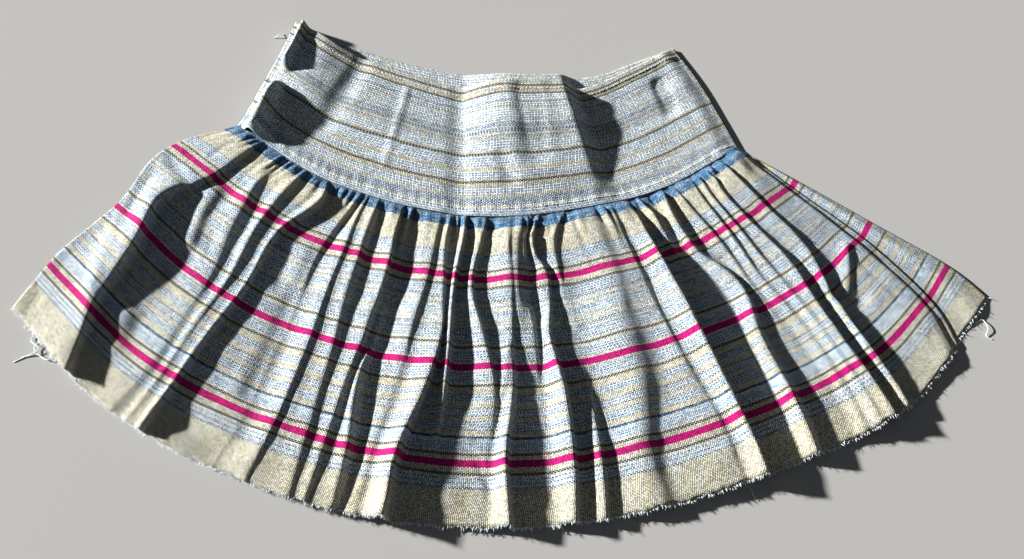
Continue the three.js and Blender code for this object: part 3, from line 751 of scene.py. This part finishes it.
def striped(tree, share, stripes, paint):
    """Colour and alpha of each pick, from one stepped ramp for every few stripes."""
    colour = alpha = None
    for start in range(0, len(stripes), RAMP_STOPS):
        part = stripes[start:start + RAMP_STOPS]
        node = tree.add("ShaderNodeValToRGB", {0: share})
        ramp = node.color_ramp
        ramp.interpolation = "CONSTANT"
        ramp.elements.remove(ramp.elements[1])
        for i, (begins, odd, even) in enumerate(part):
            place = begins / PICK_COUNT
            element = ramp.elements[0] if i == 0 else ramp.elements.new(place)
            element.position = place
            element.color = paint(odd, even)
        if colour is None:
            colour, alpha = node.outputs
            continue
        beyond = tree.math("GREATER_THAN", share, part[0][0] / PICK_COUNT)
        colour = tree.blend(beyond, colour, node.outputs[0])
        alpha = tree.lerp(beyond, alpha, node.outputs[1])
    return colour, alpha


def weave(tree, x, y, cloth):
    """Thread numbers, and the heights of the warp and of the picks where they cross."""
    warp = tree.math("DIVIDE", x, cloth.warp_pitch)
    pick = tree.math("DIVIDE", y, cloth.pick_pitch)
    ids = tree.math("FLOOR", warp), tree.math("FLOOR", pick)
    tops = []
    for along, across, number, bow, side in ((pick, warp, ids[0], WARP_BOW, CROSSING),
                                             (warp, pick, ids[1], PICK_BOW, -CROSSING)):
        turn = tree.math("ADD", along, tree.math("SUBTRACT", number, 0.5))
        wave = tree.math("COSINE", tree.math("MULTIPLY", turn, math.pi))
        rounded = tree.math("SINE", tree.math("MULTIPLY", tree.math("FRACT", across), math.pi))
        tops.append(tree.math("ADD", tree.math("MULTIPLY", wave, side),
                              tree.math("MULTIPLY", rounded, bow)))
    return ids, *tops


def wandering(tree, uv):
    """Places on the cloth across and down, drifting a little so that no thread runs dead straight."""
    drift = tree.add("ShaderNodeTexNoise", {"Vector": uv, "Scale": WANDER_SCALE, "Detail": 1.0})
    centred = tree.add("ShaderNodeVectorMath", {0: drift.outputs["Color"], 1: (0.5, 0.5, 0.5)},
                       operation="SUBTRACT")
    shift = tree.add("ShaderNodeVectorMath", {0: centred.outputs[0], "Scale": WANDER},
                     operation="SCALE")
    moved = tree.add("ShaderNodeVectorMath", {0: uv, 1: shift.outputs[0]}, operation="ADD")
    split = tree.add("ShaderNodeSeparateXYZ", {0: moved.outputs[0]})
    return split.outputs[0], split.outputs[1]


def pick_dye(tree, x, pick_id, stripes, cloth):
    """Colour of each pick, unevenly dyed along its length, and how far it covers the warp."""
    colours = {yarn: tuple(getattr(cloth, yarn)) for yarn in YARNS}
    share = tree.math("DIVIDE", tree.math("ADD", pick_id, 0.5), PICK_COUNT)
    first, mottle = striped(tree, share, stripes, lambda odd, even: (*colours[odd], YARNS[odd].mottle))
    second, cover = striped(tree, share, stripes, lambda odd, even: (*colours[even], YARNS[odd].cover))
    colour = tree.blend(tree.math("PINGPONG", pick_id, 1.0), first, second)
    place = tree.vector(tree.math("DIVIDE", x, STREAK_RUN), tree.math("MULTIPLY", pick_id, STREAK_JUMP))
    streak = tree.add("ShaderNodeTexNoise", {
        "Vector": place, "Scale": 1.0, "Detail": 2.0, "Roughness": 0.6}).outputs[0]
    patch = tree.math("MULTIPLY", tree.math("SUBTRACT", streak, 0.5), STREAK_CONTRAST)
    patch = tree.math("ADD", patch, 0.5, clamp=True)
    return tree.blend(tree.math("MULTIPLY", patch, mottle), colour, (*colours["white"], 1)), cover


def warp_dye(tree, warp_id, pick_colour, cover, cloth):
    """Colour of each warp thread: pale, but where a pick covers it almost wholly, the pick's colour
    darkened as painted shade deep under the picks.
    """
    thread = tree.add("ShaderNodeTexWhiteNoise", {"W": warp_id}, noise_dimensions="1D").outputs[0]
    colour = tree.blend(tree.math("MULTIPLY", thread, WARP_CREAM), (*cloth.white, 1), (*cloth.cream, 1))
    # Painted shade: the pick's colour darkened, for a warp lying deep under the picks
    pick_in_shade = tree.blend(1.0, pick_colour, (DEEP_SHADE, DEEP_SHADE, DEEP_SHADE, 1), kind="MULTIPLY")
    full = tree.math("MULTIPLY", tree.math("SUBTRACT", cover, FULL_COVER), FULL_RATE, clamp=True)
    return tree.blend(full, colour, pick_in_shade)


def painted_thread_shade(tree, top, grain, cloth):
    """Painted shade: brightness from dark hollows between the threads, where shade falls, up to the
    threads' tops, whose brightness also differs at random.
    """
    depth = tree.math("MULTIPLY", tree.math("SUBTRACT", top, THREAD_SHADE_START), THREAD_SHADE_RATE, clamp=True)
    uneven = tree.math("ADD", tree.math("MULTIPLY", grain, GRAIN_RANGE), GRAIN_LEAST)
    depth = tree.math("MULTIPLY", depth, uneven)
    painted_shade = tree.math("ADD", tree.math("MULTIPLY", depth, 1 - cloth.gap), cloth.gap)
    return tree.add("ShaderNodeCombineColor", {0: painted_shade, 1: painted_shade, 2: painted_shade}).outputs[0]


def linen_material(name, stripes, cloth):
    """Plain-woven linen: unevenly dyed picks in stripes over and under a pale warp."""
    material, shader, tree = new_material(name, LINEN_FINISH)
    uv = tree.add("ShaderNodeUVMap", uv_map="cloth").outputs[0]
    x, y = wandering(tree, uv)
    (warp_id, pick_id), warp_top, pick_top = weave(tree, x, y, cloth)
    pick_colour, cover = pick_dye(tree, x, pick_id, stripes, cloth)
    warp_colour = warp_dye(tree, warp_id, pick_colour, cover, cloth)
    grain = tree.add("ShaderNodeTexWhiteNoise", {"Vector": tree.vector(warp_id, pick_id)},
                     noise_dimensions="2D").outputs[0]

    pick_top = tree.math("ADD", pick_top, tree.math("MULTIPLY", cover, COVER_LIFT))
    lead = tree.math("ADD", tree.math("SUBTRACT", pick_top, warp_top),
                     tree.math("MULTIPLY", tree.math("SUBTRACT", grain, 0.5), cloth.grain))
    facing = tree.math("ADD", tree.math("MULTIPLY", lead, EDGE_SHARPNESS), 0.5, clamp=True)
    top = tree.math("MAXIMUM", warp_top, pick_top)
    colour = tree.blend(facing, warp_colour, pick_colour)
    # Painted shade between the threads, darkened further at random by the grain
    colour = tree.blend(1.0, colour, painted_thread_shade(tree, top, grain, cloth), kind="MULTIPLY")
    slub = tree.add("ShaderNodeTexNoise", {"Vector": uv, "Scale": SLUB_SCALE, "Detail": 3.0})
    height = tree.math("ADD", top, tree.math("MULTIPLY", slub.outputs[0], SLUB_HEIGHT))
    bump = tree.add("ShaderNodeBump", {"Height": height, **LINEN_RELIEF})
    tree.feed(shader.inputs["Base Color"], colour)
    tree.feed(shader.inputs["Normal"], bump.outputs[0])
    return material


def thread_material(name, colour):
    """Spun linen yarn: a pale colour, uneven along its length."""
    material, shader, tree = new_material(name, YARN_FINISH)
    place = tree.add("ShaderNodeTexCoord").outputs["Object"]
    slub = tree.add("ShaderNodeTexNoise", {"Vector": place, "Scale": YARN_SLUB_SCALE, "Detail": 2.0})
    dull = (*(c * YARN_DULL for c in colour), 1)
    bump = tree.add("ShaderNodeBump", {"Height": slub.outputs[0], **YARN_RELIEF})
    tree.feed(shader.inputs["Base Color"], tree.blend(slub.outputs[0], dull, (*colour, 1)))
    tree.feed(shader.inputs["Normal"], bump.outputs[0])
    return material


def hem_line(piece, columns, rows):
    """Middle of the cloth's edge along a panel's last row, and the way the cloth points there."""
    points = np.array([v.co[:] for v in piece.data.vertices]).reshape(2, rows, columns, 3)
    middle = points.mean(axis=0)
    out = middle[-1] - middle[-4]
    return middle[-1], out / np.linalg.norm(out, axis=1)[:, None]


def even_points(line, out, pitch):
    """Points at an even pitch along a bent line, each with its own direction."""
    along = np.r_[0, np.cumsum(np.linalg.norm(np.diff(line, axis=0), axis=1))]
    at = np.arange(pitch / 2, along[-1], pitch)
    place = np.stack([np.interp(at, along, line[:, k]) for k in range(3)], -1)
    way = np.stack([np.interp(at, along, out[:, k]) for k in range(3)], -1)
    return place, way / np.linalg.norm(way, axis=1)[:, None]


def host_mesh(name, places, ways):
    mesh = new_mesh(name, places.tolist(), [])
    attribute = mesh.attributes.new("way", "FLOAT_VECTOR", "POINT")
    attribute.data.foreach_set("vector", ways.ravel())
    return in_scene(name, mesh)


def yarn_shape(name, sides=4, rings=4, bow=0.25, taper=0.5):
    """A short bowed bit of yarn of unit length and unit thickness along +Z."""
    points, faces = [], []
    for i in range(rings):
        t = i / (rings - 1)
        radius = 0.5 * (1 - (1 - taper) * t ** 2)
        for k in range(sides):
            turn = math.tau * k / sides
            points.append((radius * math.cos(turn), radius * math.sin(turn), t))
    for i in range(rings - 1):
        for k in range(sides):
            a, b = i * sides + k, i * sides + (k + 1) % sides
            faces.append((a, b, b + sides, a + sides))
    faces.append(tuple(reversed(range(sides))))
    faces.append(tuple(range((rings - 1) * sides, rings * sides)))
    points = [(x + bow * math.sin(math.pi * z), y, z) for x, y, z in points]
    return bpy.data.objects.new(name, new_mesh(name, points, faces))


def yarn_tree(shape, material):
    """Geometry Nodes: a bit of yarn on every point, along its own way, unevenly turned and long."""
    tree = bpy.data.node_groups.new("yarn_bits", "GeometryNodeTree")
    sockets = tree.interface
    sockets.new_socket("Geometry", in_out="INPUT", socket_type="NodeSocketGeometry")
    sockets.new_socket("Geometry", in_out="OUTPUT", socket_type="NodeSocketGeometry")
    for name, default in (("Length", 0.003), ("Thickness", 0.0006), ("Uneven", 0.4), ("Spread", 0.4)):
        socket = sockets.new_socket(name, in_out="INPUT", socket_type="NodeSocketFloat")
        socket.default_value = default
    sockets.new_socket("Seed", in_out="INPUT", socket_type="NodeSocketInt")
    t = NodeTree(tree)
    given = t.add("NodeGroupInput").outputs
    result = t.add("NodeGroupOutput")
    bit = t.add("GeometryNodeObjectInfo", {"Object": shape}).outputs["Geometry"]
    way = t.add("GeometryNodeInputNamedAttribute", {"Name": "way"}, data_type="FLOAT_VECTOR").outputs[0]

    def draw(low, high, offset):
        seed = t.math("ADD", given["Seed"], float(offset))
        node = t.add("FunctionNodeRandomValue", data_type="FLOAT_VECTOR")
        t.feed(node.inputs[0], low)
        t.feed(node.inputs[1], high)
        t.feed(node.inputs["Seed"], seed)
        return node.outputs[0]

    def scaled(vector, factor):
        node = t.add("ShaderNodeVectorMath", {0: vector, "Scale": factor}, operation="SCALE")
        return node.outputs[0]

    wander = scaled(draw((-1, -1, -0.7), (1, 1, 1), 0), given["Spread"])
    aim = t.add("ShaderNodeVectorMath", {0: way, 1: wander}, operation="ADD").outputs[0]
    turn = t.add("FunctionNodeAlignRotationToVector", {"Vector": aim}, axis="Z").outputs[0]
    spin = t.add("FunctionNodeRotateRotation", {0: turn}, rotation_space="LOCAL")
    twist = scaled(draw((0, 0, 0), (0, 0, math.tau), 1), 1.0)
    t.feed(spin.inputs[1], t.add("FunctionNodeEulerToRotation", {0: twist}).outputs[0])
    share = t.add("ShaderNodeSeparateXYZ", {0: draw((-1, -1, -1), (1, 1, 1), 2)}).outputs[0]
    stretch = t.math("ADD", 1.0, t.math("MULTIPLY", share, given["Uneven"]))
    size = t.vector(given["Thickness"], given["Thickness"],
                    t.math("MULTIPLY", given["Length"], stretch))
    placed = t.add("GeometryNodeInstanceOnPoints", {"Points": given["Geometry"], "Instance": bit,
                                                    "Rotation": spin.outputs[0], "Scale": size})
    real = t.add("GeometryNodeRealizeInstances", {0: placed.outputs[0]}).outputs[0]
    dressed = t.add("GeometryNodeSetMaterial", {"Geometry": real, "Material": material}).outputs[0]
    t.feed(result.inputs[0], dressed)
    return tree


def yarn_piece(name, places, ways, tree, **sizes):
    """Runs the tree on the given points and keeps the result as a plain mesh."""
    host = host_mesh(name + "_points", places, ways)
    modifier = host.modifiers.new("bits", "NODES")
    modifier.node_group = tree
    sockets = {item.name: item.identifier for item in tree.interface.items_tree
               if item.in_out == "INPUT"}
    for key, value in sizes.items():
        modifier[sockets[key.capitalize()]] = value
    graph = bpy.context.evaluated_depsgraph_get()
    mesh = bpy.data.meshes.new_from_object(host.evaluated_get(graph), depsgraph=graph)
    mesh.name = name
    bpy.data.objects.remove(host)
    if not len(mesh.polygons):
        raise RuntimeError(name + " came out empty")
    return in_scene(name, mesh)


def thread_tube(name, points, radius, lift, material, sides=6):
    """A loose thread along plan points, rising off the floor between its ends."""
    share = np.linspace(0, 1, THREAD_STEPS)
    plan = Curve(points).at(share)
    line = np.column_stack([plan, radius + lift * np.sin(share * math.pi) ** 2])
    ahead = np.gradient(line, axis=0)
    across = np.cross(ahead, (0, 0, 1))
    across /= np.linalg.norm(across, axis=1)[:, None]
    over = np.cross(across, ahead)
    over /= np.linalg.norm(over, axis=1)[:, None]
    turn = (np.arange(sides) / sides * math.tau)[None, :, None]
    rings = line[:, None] + radius * (np.cos(turn) * across[:, None] + np.sin(turn) * over[:, None])
    ids = np.arange(THREAD_STEPS * sides).reshape(THREAD_STEPS, sides)
    after = np.roll(ids, -1, axis=1)
    faces = np.stack([ids[:-1], after[:-1], after[1:], ids[1:]], -1).reshape(-1, 4).tolist()
    faces += [ids[0][::-1].tolist(), ids[-1].tolist()]
    mesh = new_mesh(name, (rings.reshape(-1, 3) * MM).tolist(), faces)
    mesh.materials.append(material)
    return in_scene(name, mesh)


def yarn_colour(name, description, default):
    return FloatVectorProperty(name=name, description=description, subtype="COLOR", default=default)


class ClothSettings(bpy.types.PropertyGroup):
    """Sizes and yarn colours of the woven cloth."""
    warp_pitch: FloatProperty(
        name="Warp pitch", description="Distance between warp threads, in millimetres",
        default=1.5, min=0.3, max=5)
    pick_pitch: FloatProperty(
        name="Pick pitch", description="Distance between picks, in millimetres",
        default=1.13, min=0.3, max=5)
    # Painted shade: how dark the hollows between the threads are painted
    gap: FloatProperty(
        name="Gap", description="Brightness between the threads, compared with their tops",
        default=0.08, min=0, max=1, subtype="FACTOR")
    grain: FloatProperty(
        name="Grain", description="How unevenly the threads lie over each other",
        default=0.5, min=0, max=2)
    fray_length: FloatProperty(
        name="Fray length", description="Length of the warp ends at the raw hem",
        default=0.0028, min=0, max=0.02, unit="LENGTH")
    seed: IntProperty(name="Seed", description="Draw of the uneven threads", default=7, min=0)
    cream: yarn_colour("Cream", "Unbleached linen", (0.80, 0.69, 0.42))
    white: yarn_colour("White", "Bleached linen", (0.82, 0.92, 0.98))
    blue: yarn_colour("Blue", "Faded indigo", (0.012, 0.06, 0.17))
    sky: yarn_colour("Sky", "Pale indigo", (0.07, 0.23, 0.50))
    mist: yarn_colour("Mist", "Very pale indigo", (0.28, 0.48, 0.72))
    denim: yarn_colour("Denim", "Strong indigo", (0.05, 0.21, 0.44))
    straw: yarn_colour("Straw", "Yellowish linen", (0.78, 0.68, 0.34))
    dark: yarn_colour("Dark", "Olive black", (0.022, 0.020, 0.010))
    pink: yarn_colour("Pink", "Bright magenta", (0.72, 0.001, 0.24))


class StageSettings(bpy.types.PropertyGroup):
    """The floor, the lights and the camera."""
    distance: FloatProperty(
        name="Distance", description="From the camera to the point it looks at",
        default=1.0625, min=0.1, unit="LENGTH")
    tilt: FloatProperty(
        name="Tilt", description="The camera's angle down to the floor",
        default=math.radians(67), subtype="ANGLE", unit="ROTATION")
    lens: FloatProperty(
        name="Lens", description="Focal length on a 36 mm wide frame, in millimetres",
        default=43.95, min=10)
    sun_strength: FloatProperty(
        name="Sun strength", description="Brightness of the low key light", default=13, min=0)
    sun_spread: FloatProperty(
        name="Sun spread", description="Angle across the key light, which softens its shadows",
        default=math.radians(3), subtype="ANGLE", unit="ROTATION")
    sun_tilt: FloatProperty(
        name="Sun tilt", description="The key light's angle away from straight down",
        default=math.radians(70), subtype="ANGLE", unit="ROTATION")
    sun_turn: FloatProperty(
        name="Sun turn", description="The side that the key light comes from",
        default=math.radians(-108), subtype="ANGLE", unit="ROTATION")
    sky_strength: FloatProperty(
        name="Sky strength", description="Brightness of the soft light all round",
        default=0.1, min=0)
    floor: FloatVectorProperty(
        name="Floor", description="Colour of the plain floor", subtype="COLOR",
        default=(0.34, 0.337, 0.33))


class SKIRT_OT_yoke(bpy.types.Operator):
    """Build the front and back of the hip yoke"""
    bl_idname = "skirt.yoke"
    bl_label = "Hip yoke"

    def execute(self, context):
        cloth = context.scene.skirt_cloth
        linen = linen_material("yoke_linen", YOKE_STRIPES, cloth)
        front = cloth_object("yoke_front_cloth", yoke_front_rows(), YOKE_CLOTH, linen)
        inside = linen_material("yoke_back_linen", YOKE_BACK_STRIPES, cloth)
        back = cloth_object("yoke_back_cloth", yoke_back_rows(), YOKE_CLOTH, inside)
        finish_piece(front, "yoke_linen", "yoke_front")
        finish_piece(back, "yoke_linen", "yoke_back")
        return {"FINISHED"}


class SKIRT_OT_flounce(bpy.types.Operator):
    """Build the front and back of the gathered flounce"""
    bl_idname = "skirt.flounce"
    bl_label = "Gathered flounce"

    def execute(self, context):
        cloth = context.scene.skirt_cloth
        linen = linen_material("flounce_linen", FLOUNCE_STRIPES, cloth)
        front = cloth_object("flounce_front_cloth", front_rows(), FLOUNCE_CLOTH, linen)
        back = cloth_object("flounce_back_cloth", back_rows(), FLOUNCE_CLOTH, linen)
        finish_piece(front, "flounce_linen", "flounce_front")
        finish_piece(back, "flounce_linen", "flounce_back")
        return {"FINISHED"}


class SKIRT_OT_fray(bpy.types.Operator):
    """Fray the raw hem of the flounce"""
    bl_idname = "skirt.fray"
    bl_label = "Frayed hem"

    def execute(self, context):
        cloth = context.scene.skirt_cloth
        yarn = thread_material("linen_yarn", tuple(cloth.white))
        tree = yarn_tree(yarn_shape("yarn_bit"), yarn)
        pitch = cloth.warp_pitch * MM
        for name, columns, rows in (("front", FRONT_COLUMNS, FRONT_ROWS),
                                    ("back", BACK_COLUMNS + MARGIN_COLUMNS, BACK_ROWS)):
            panel = bpy.data.objects[f"flounce_{name}_cloth"]
            places, ways = even_points(*hem_line(panel, columns, rows), pitch / 2)
            fray = yarn_piece(f"hem_fray_{name}", places - ways * FRAY_HELD, ways, tree,
                              length=cloth.fray_length, thickness=FRAY_THICKNESS, uneven=0.6,
                              spread=0.5, seed=cloth.seed)
            finish_piece(fray, "flounce_linen")
        for i, (radius, lift, *points) in enumerate(LOOSE_THREADS):
            thread = thread_tube(f"loose_thread_{i + 1}", points, radius, lift, yarn)
            finish_piece(thread, "flounce_linen")
        return {"FINISHED"}


class SKIRT_OT_stitches(bpy.types.Operator):
    """Sew the turned waist and the yoke's lower edge"""
    bl_idname = "skirt.stitches"
    bl_label = "Stitches"

    def execute(self, context):
        cloth = context.scene.skirt_cloth
        yarn = thread_material("sewing_thread", tuple(cloth.white))
        tree = yarn_tree(yarn_shape("stitch", bow=0.06, taper=0.9), yarn)
        rows = {row.down: row for row in yoke_front_rows()}
        for name, down in STITCH_ROWS.items():
            row = rows[min(rows, key=lambda t: abs(t - down))]
            line = (row.high[2:-2] + (0, 0, STITCH_LIFT)) * MM
            places, ways = even_points(line, np.gradient(line, axis=0), STITCH_PITCH)
            stitches = yarn_piece(name, places, ways, tree, length=STITCH_LENGTH,
                                  thickness=STITCH_THICKNESS, uneven=0.2, spread=0.04,
                                  seed=cloth.seed + 1)
            finish_piece(stitches, "yoke_linen")
        return {"FINISHED"}


class SKIRT_OT_stage(bpy.types.Operator):
    """Set the floor, the lights and the camera"""
    bl_idname = "skirt.stage"
    bl_label = "Stage"

    def execute(self, context):
        stage = context.scene.skirt_stage
        self.add_camera(context, stage)
        self.add_floor(stage)
        self.add_lights(context, stage)
        context.scene.view_settings.view_transform = "Standard"
        return {"FINISHED"}

    def add_camera(self, context, stage):
        data = bpy.data.cameras.new("camera")
        data.sensor_width = SENSOR_WIDTH
        data.lens = stage.lens
        camera = in_scene("camera", data)
        away = np.array([0, -math.cos(stage.tilt), math.sin(stage.tilt)]) * stage.distance
        camera.location = np.array(CAMERA_TARGET) * MM + away
        camera.rotation_euler = (math.radians(90) - stage.tilt, 0, 0)
        context.scene.camera = camera

    def add_floor(self, stage):
        corners = [(x * FLOOR_HALF, y * FLOOR_HALF, 0) for x, y in ((-1, -1), (1, -1), (1, 1), (-1, 1))]
        mesh = new_mesh("floor", corners, [(0, 1, 2, 3)])
        material, shader, tree = new_material("floor", FLOOR_FINISH)
        tree.feed(shader.inputs["Base Color"], (*stage.floor, 1))
        mesh.materials.append(material)
        in_scene("floor", mesh)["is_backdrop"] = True

    def add_lights(self, context, stage):
        sun = bpy.data.lights.new("low_key", "SUN")
        sun.energy = stage.sun_strength
        sun.angle = stage.sun_spread
        sun.color = SUN_COLOUR
        in_scene("low_key", sun).rotation_euler = (stage.sun_tilt, 0, stage.sun_turn)
        world = bpy.data.worlds.new("studio")
        world.use_nodes = True
        background = world.node_tree.nodes["Background"]
        background.inputs["Color"].default_value = SKY_COLOUR
        background.inputs["Strength"].default_value = stage.sky_strength
        context.scene.world = world


class SKIRT_PT_panel(bpy.types.Panel):
    """Lists the skirt's pieces and cloth settings"""
    bl_label = "Linen skirt"
    bl_space_type = "VIEW_3D"
    bl_region_type = "UI"
    bl_category = "Skirt"

    def draw(self, context):
        layout = self.layout
        for operator in OPERATORS:
            layout.operator(operator.bl_idname)
        for settings in (context.scene.skirt_cloth, context.scene.skirt_stage):
            for name in settings.bl_rna.properties.keys():
                if name not in ("rna_type", "name"):
                    layout.prop(settings, name)


OPERATORS = (SKIRT_OT_stage, SKIRT_OT_yoke, SKIRT_OT_flounce, SKIRT_OT_stitches, SKIRT_OT_fray)
CLASSES = (ClothSettings, StageSettings, *OPERATORS, SKIRT_PT_panel)


def register():
    for cls in CLASSES:
        bpy.utils.register_class(cls)
    bpy.types.Scene.skirt_cloth = PointerProperty(type=ClothSettings)
    bpy.types.Scene.skirt_stage = PointerProperty(type=StageSettings)


def unregister():
    del bpy.types.Scene.skirt_stage
    del bpy.types.Scene.skirt_cloth
    for cls in reversed(CLASSES):
        bpy.utils.unregister_class(cls)


def main():
    cad_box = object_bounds()
    register()
    bpy.ops.skirt.stage()
    bpy.ops.skirt.yoke()
    bpy.ops.skirt.flounce()
    bpy.ops.skirt.stitches()
    bpy.ops.skirt.fray()
    boxes = {"cad": cad_box, "visual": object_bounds()}
    {key: [list(map(float, corner)) for corner in box] for key, box in boxes.items()}


if __name__ == "__main__":
    main()
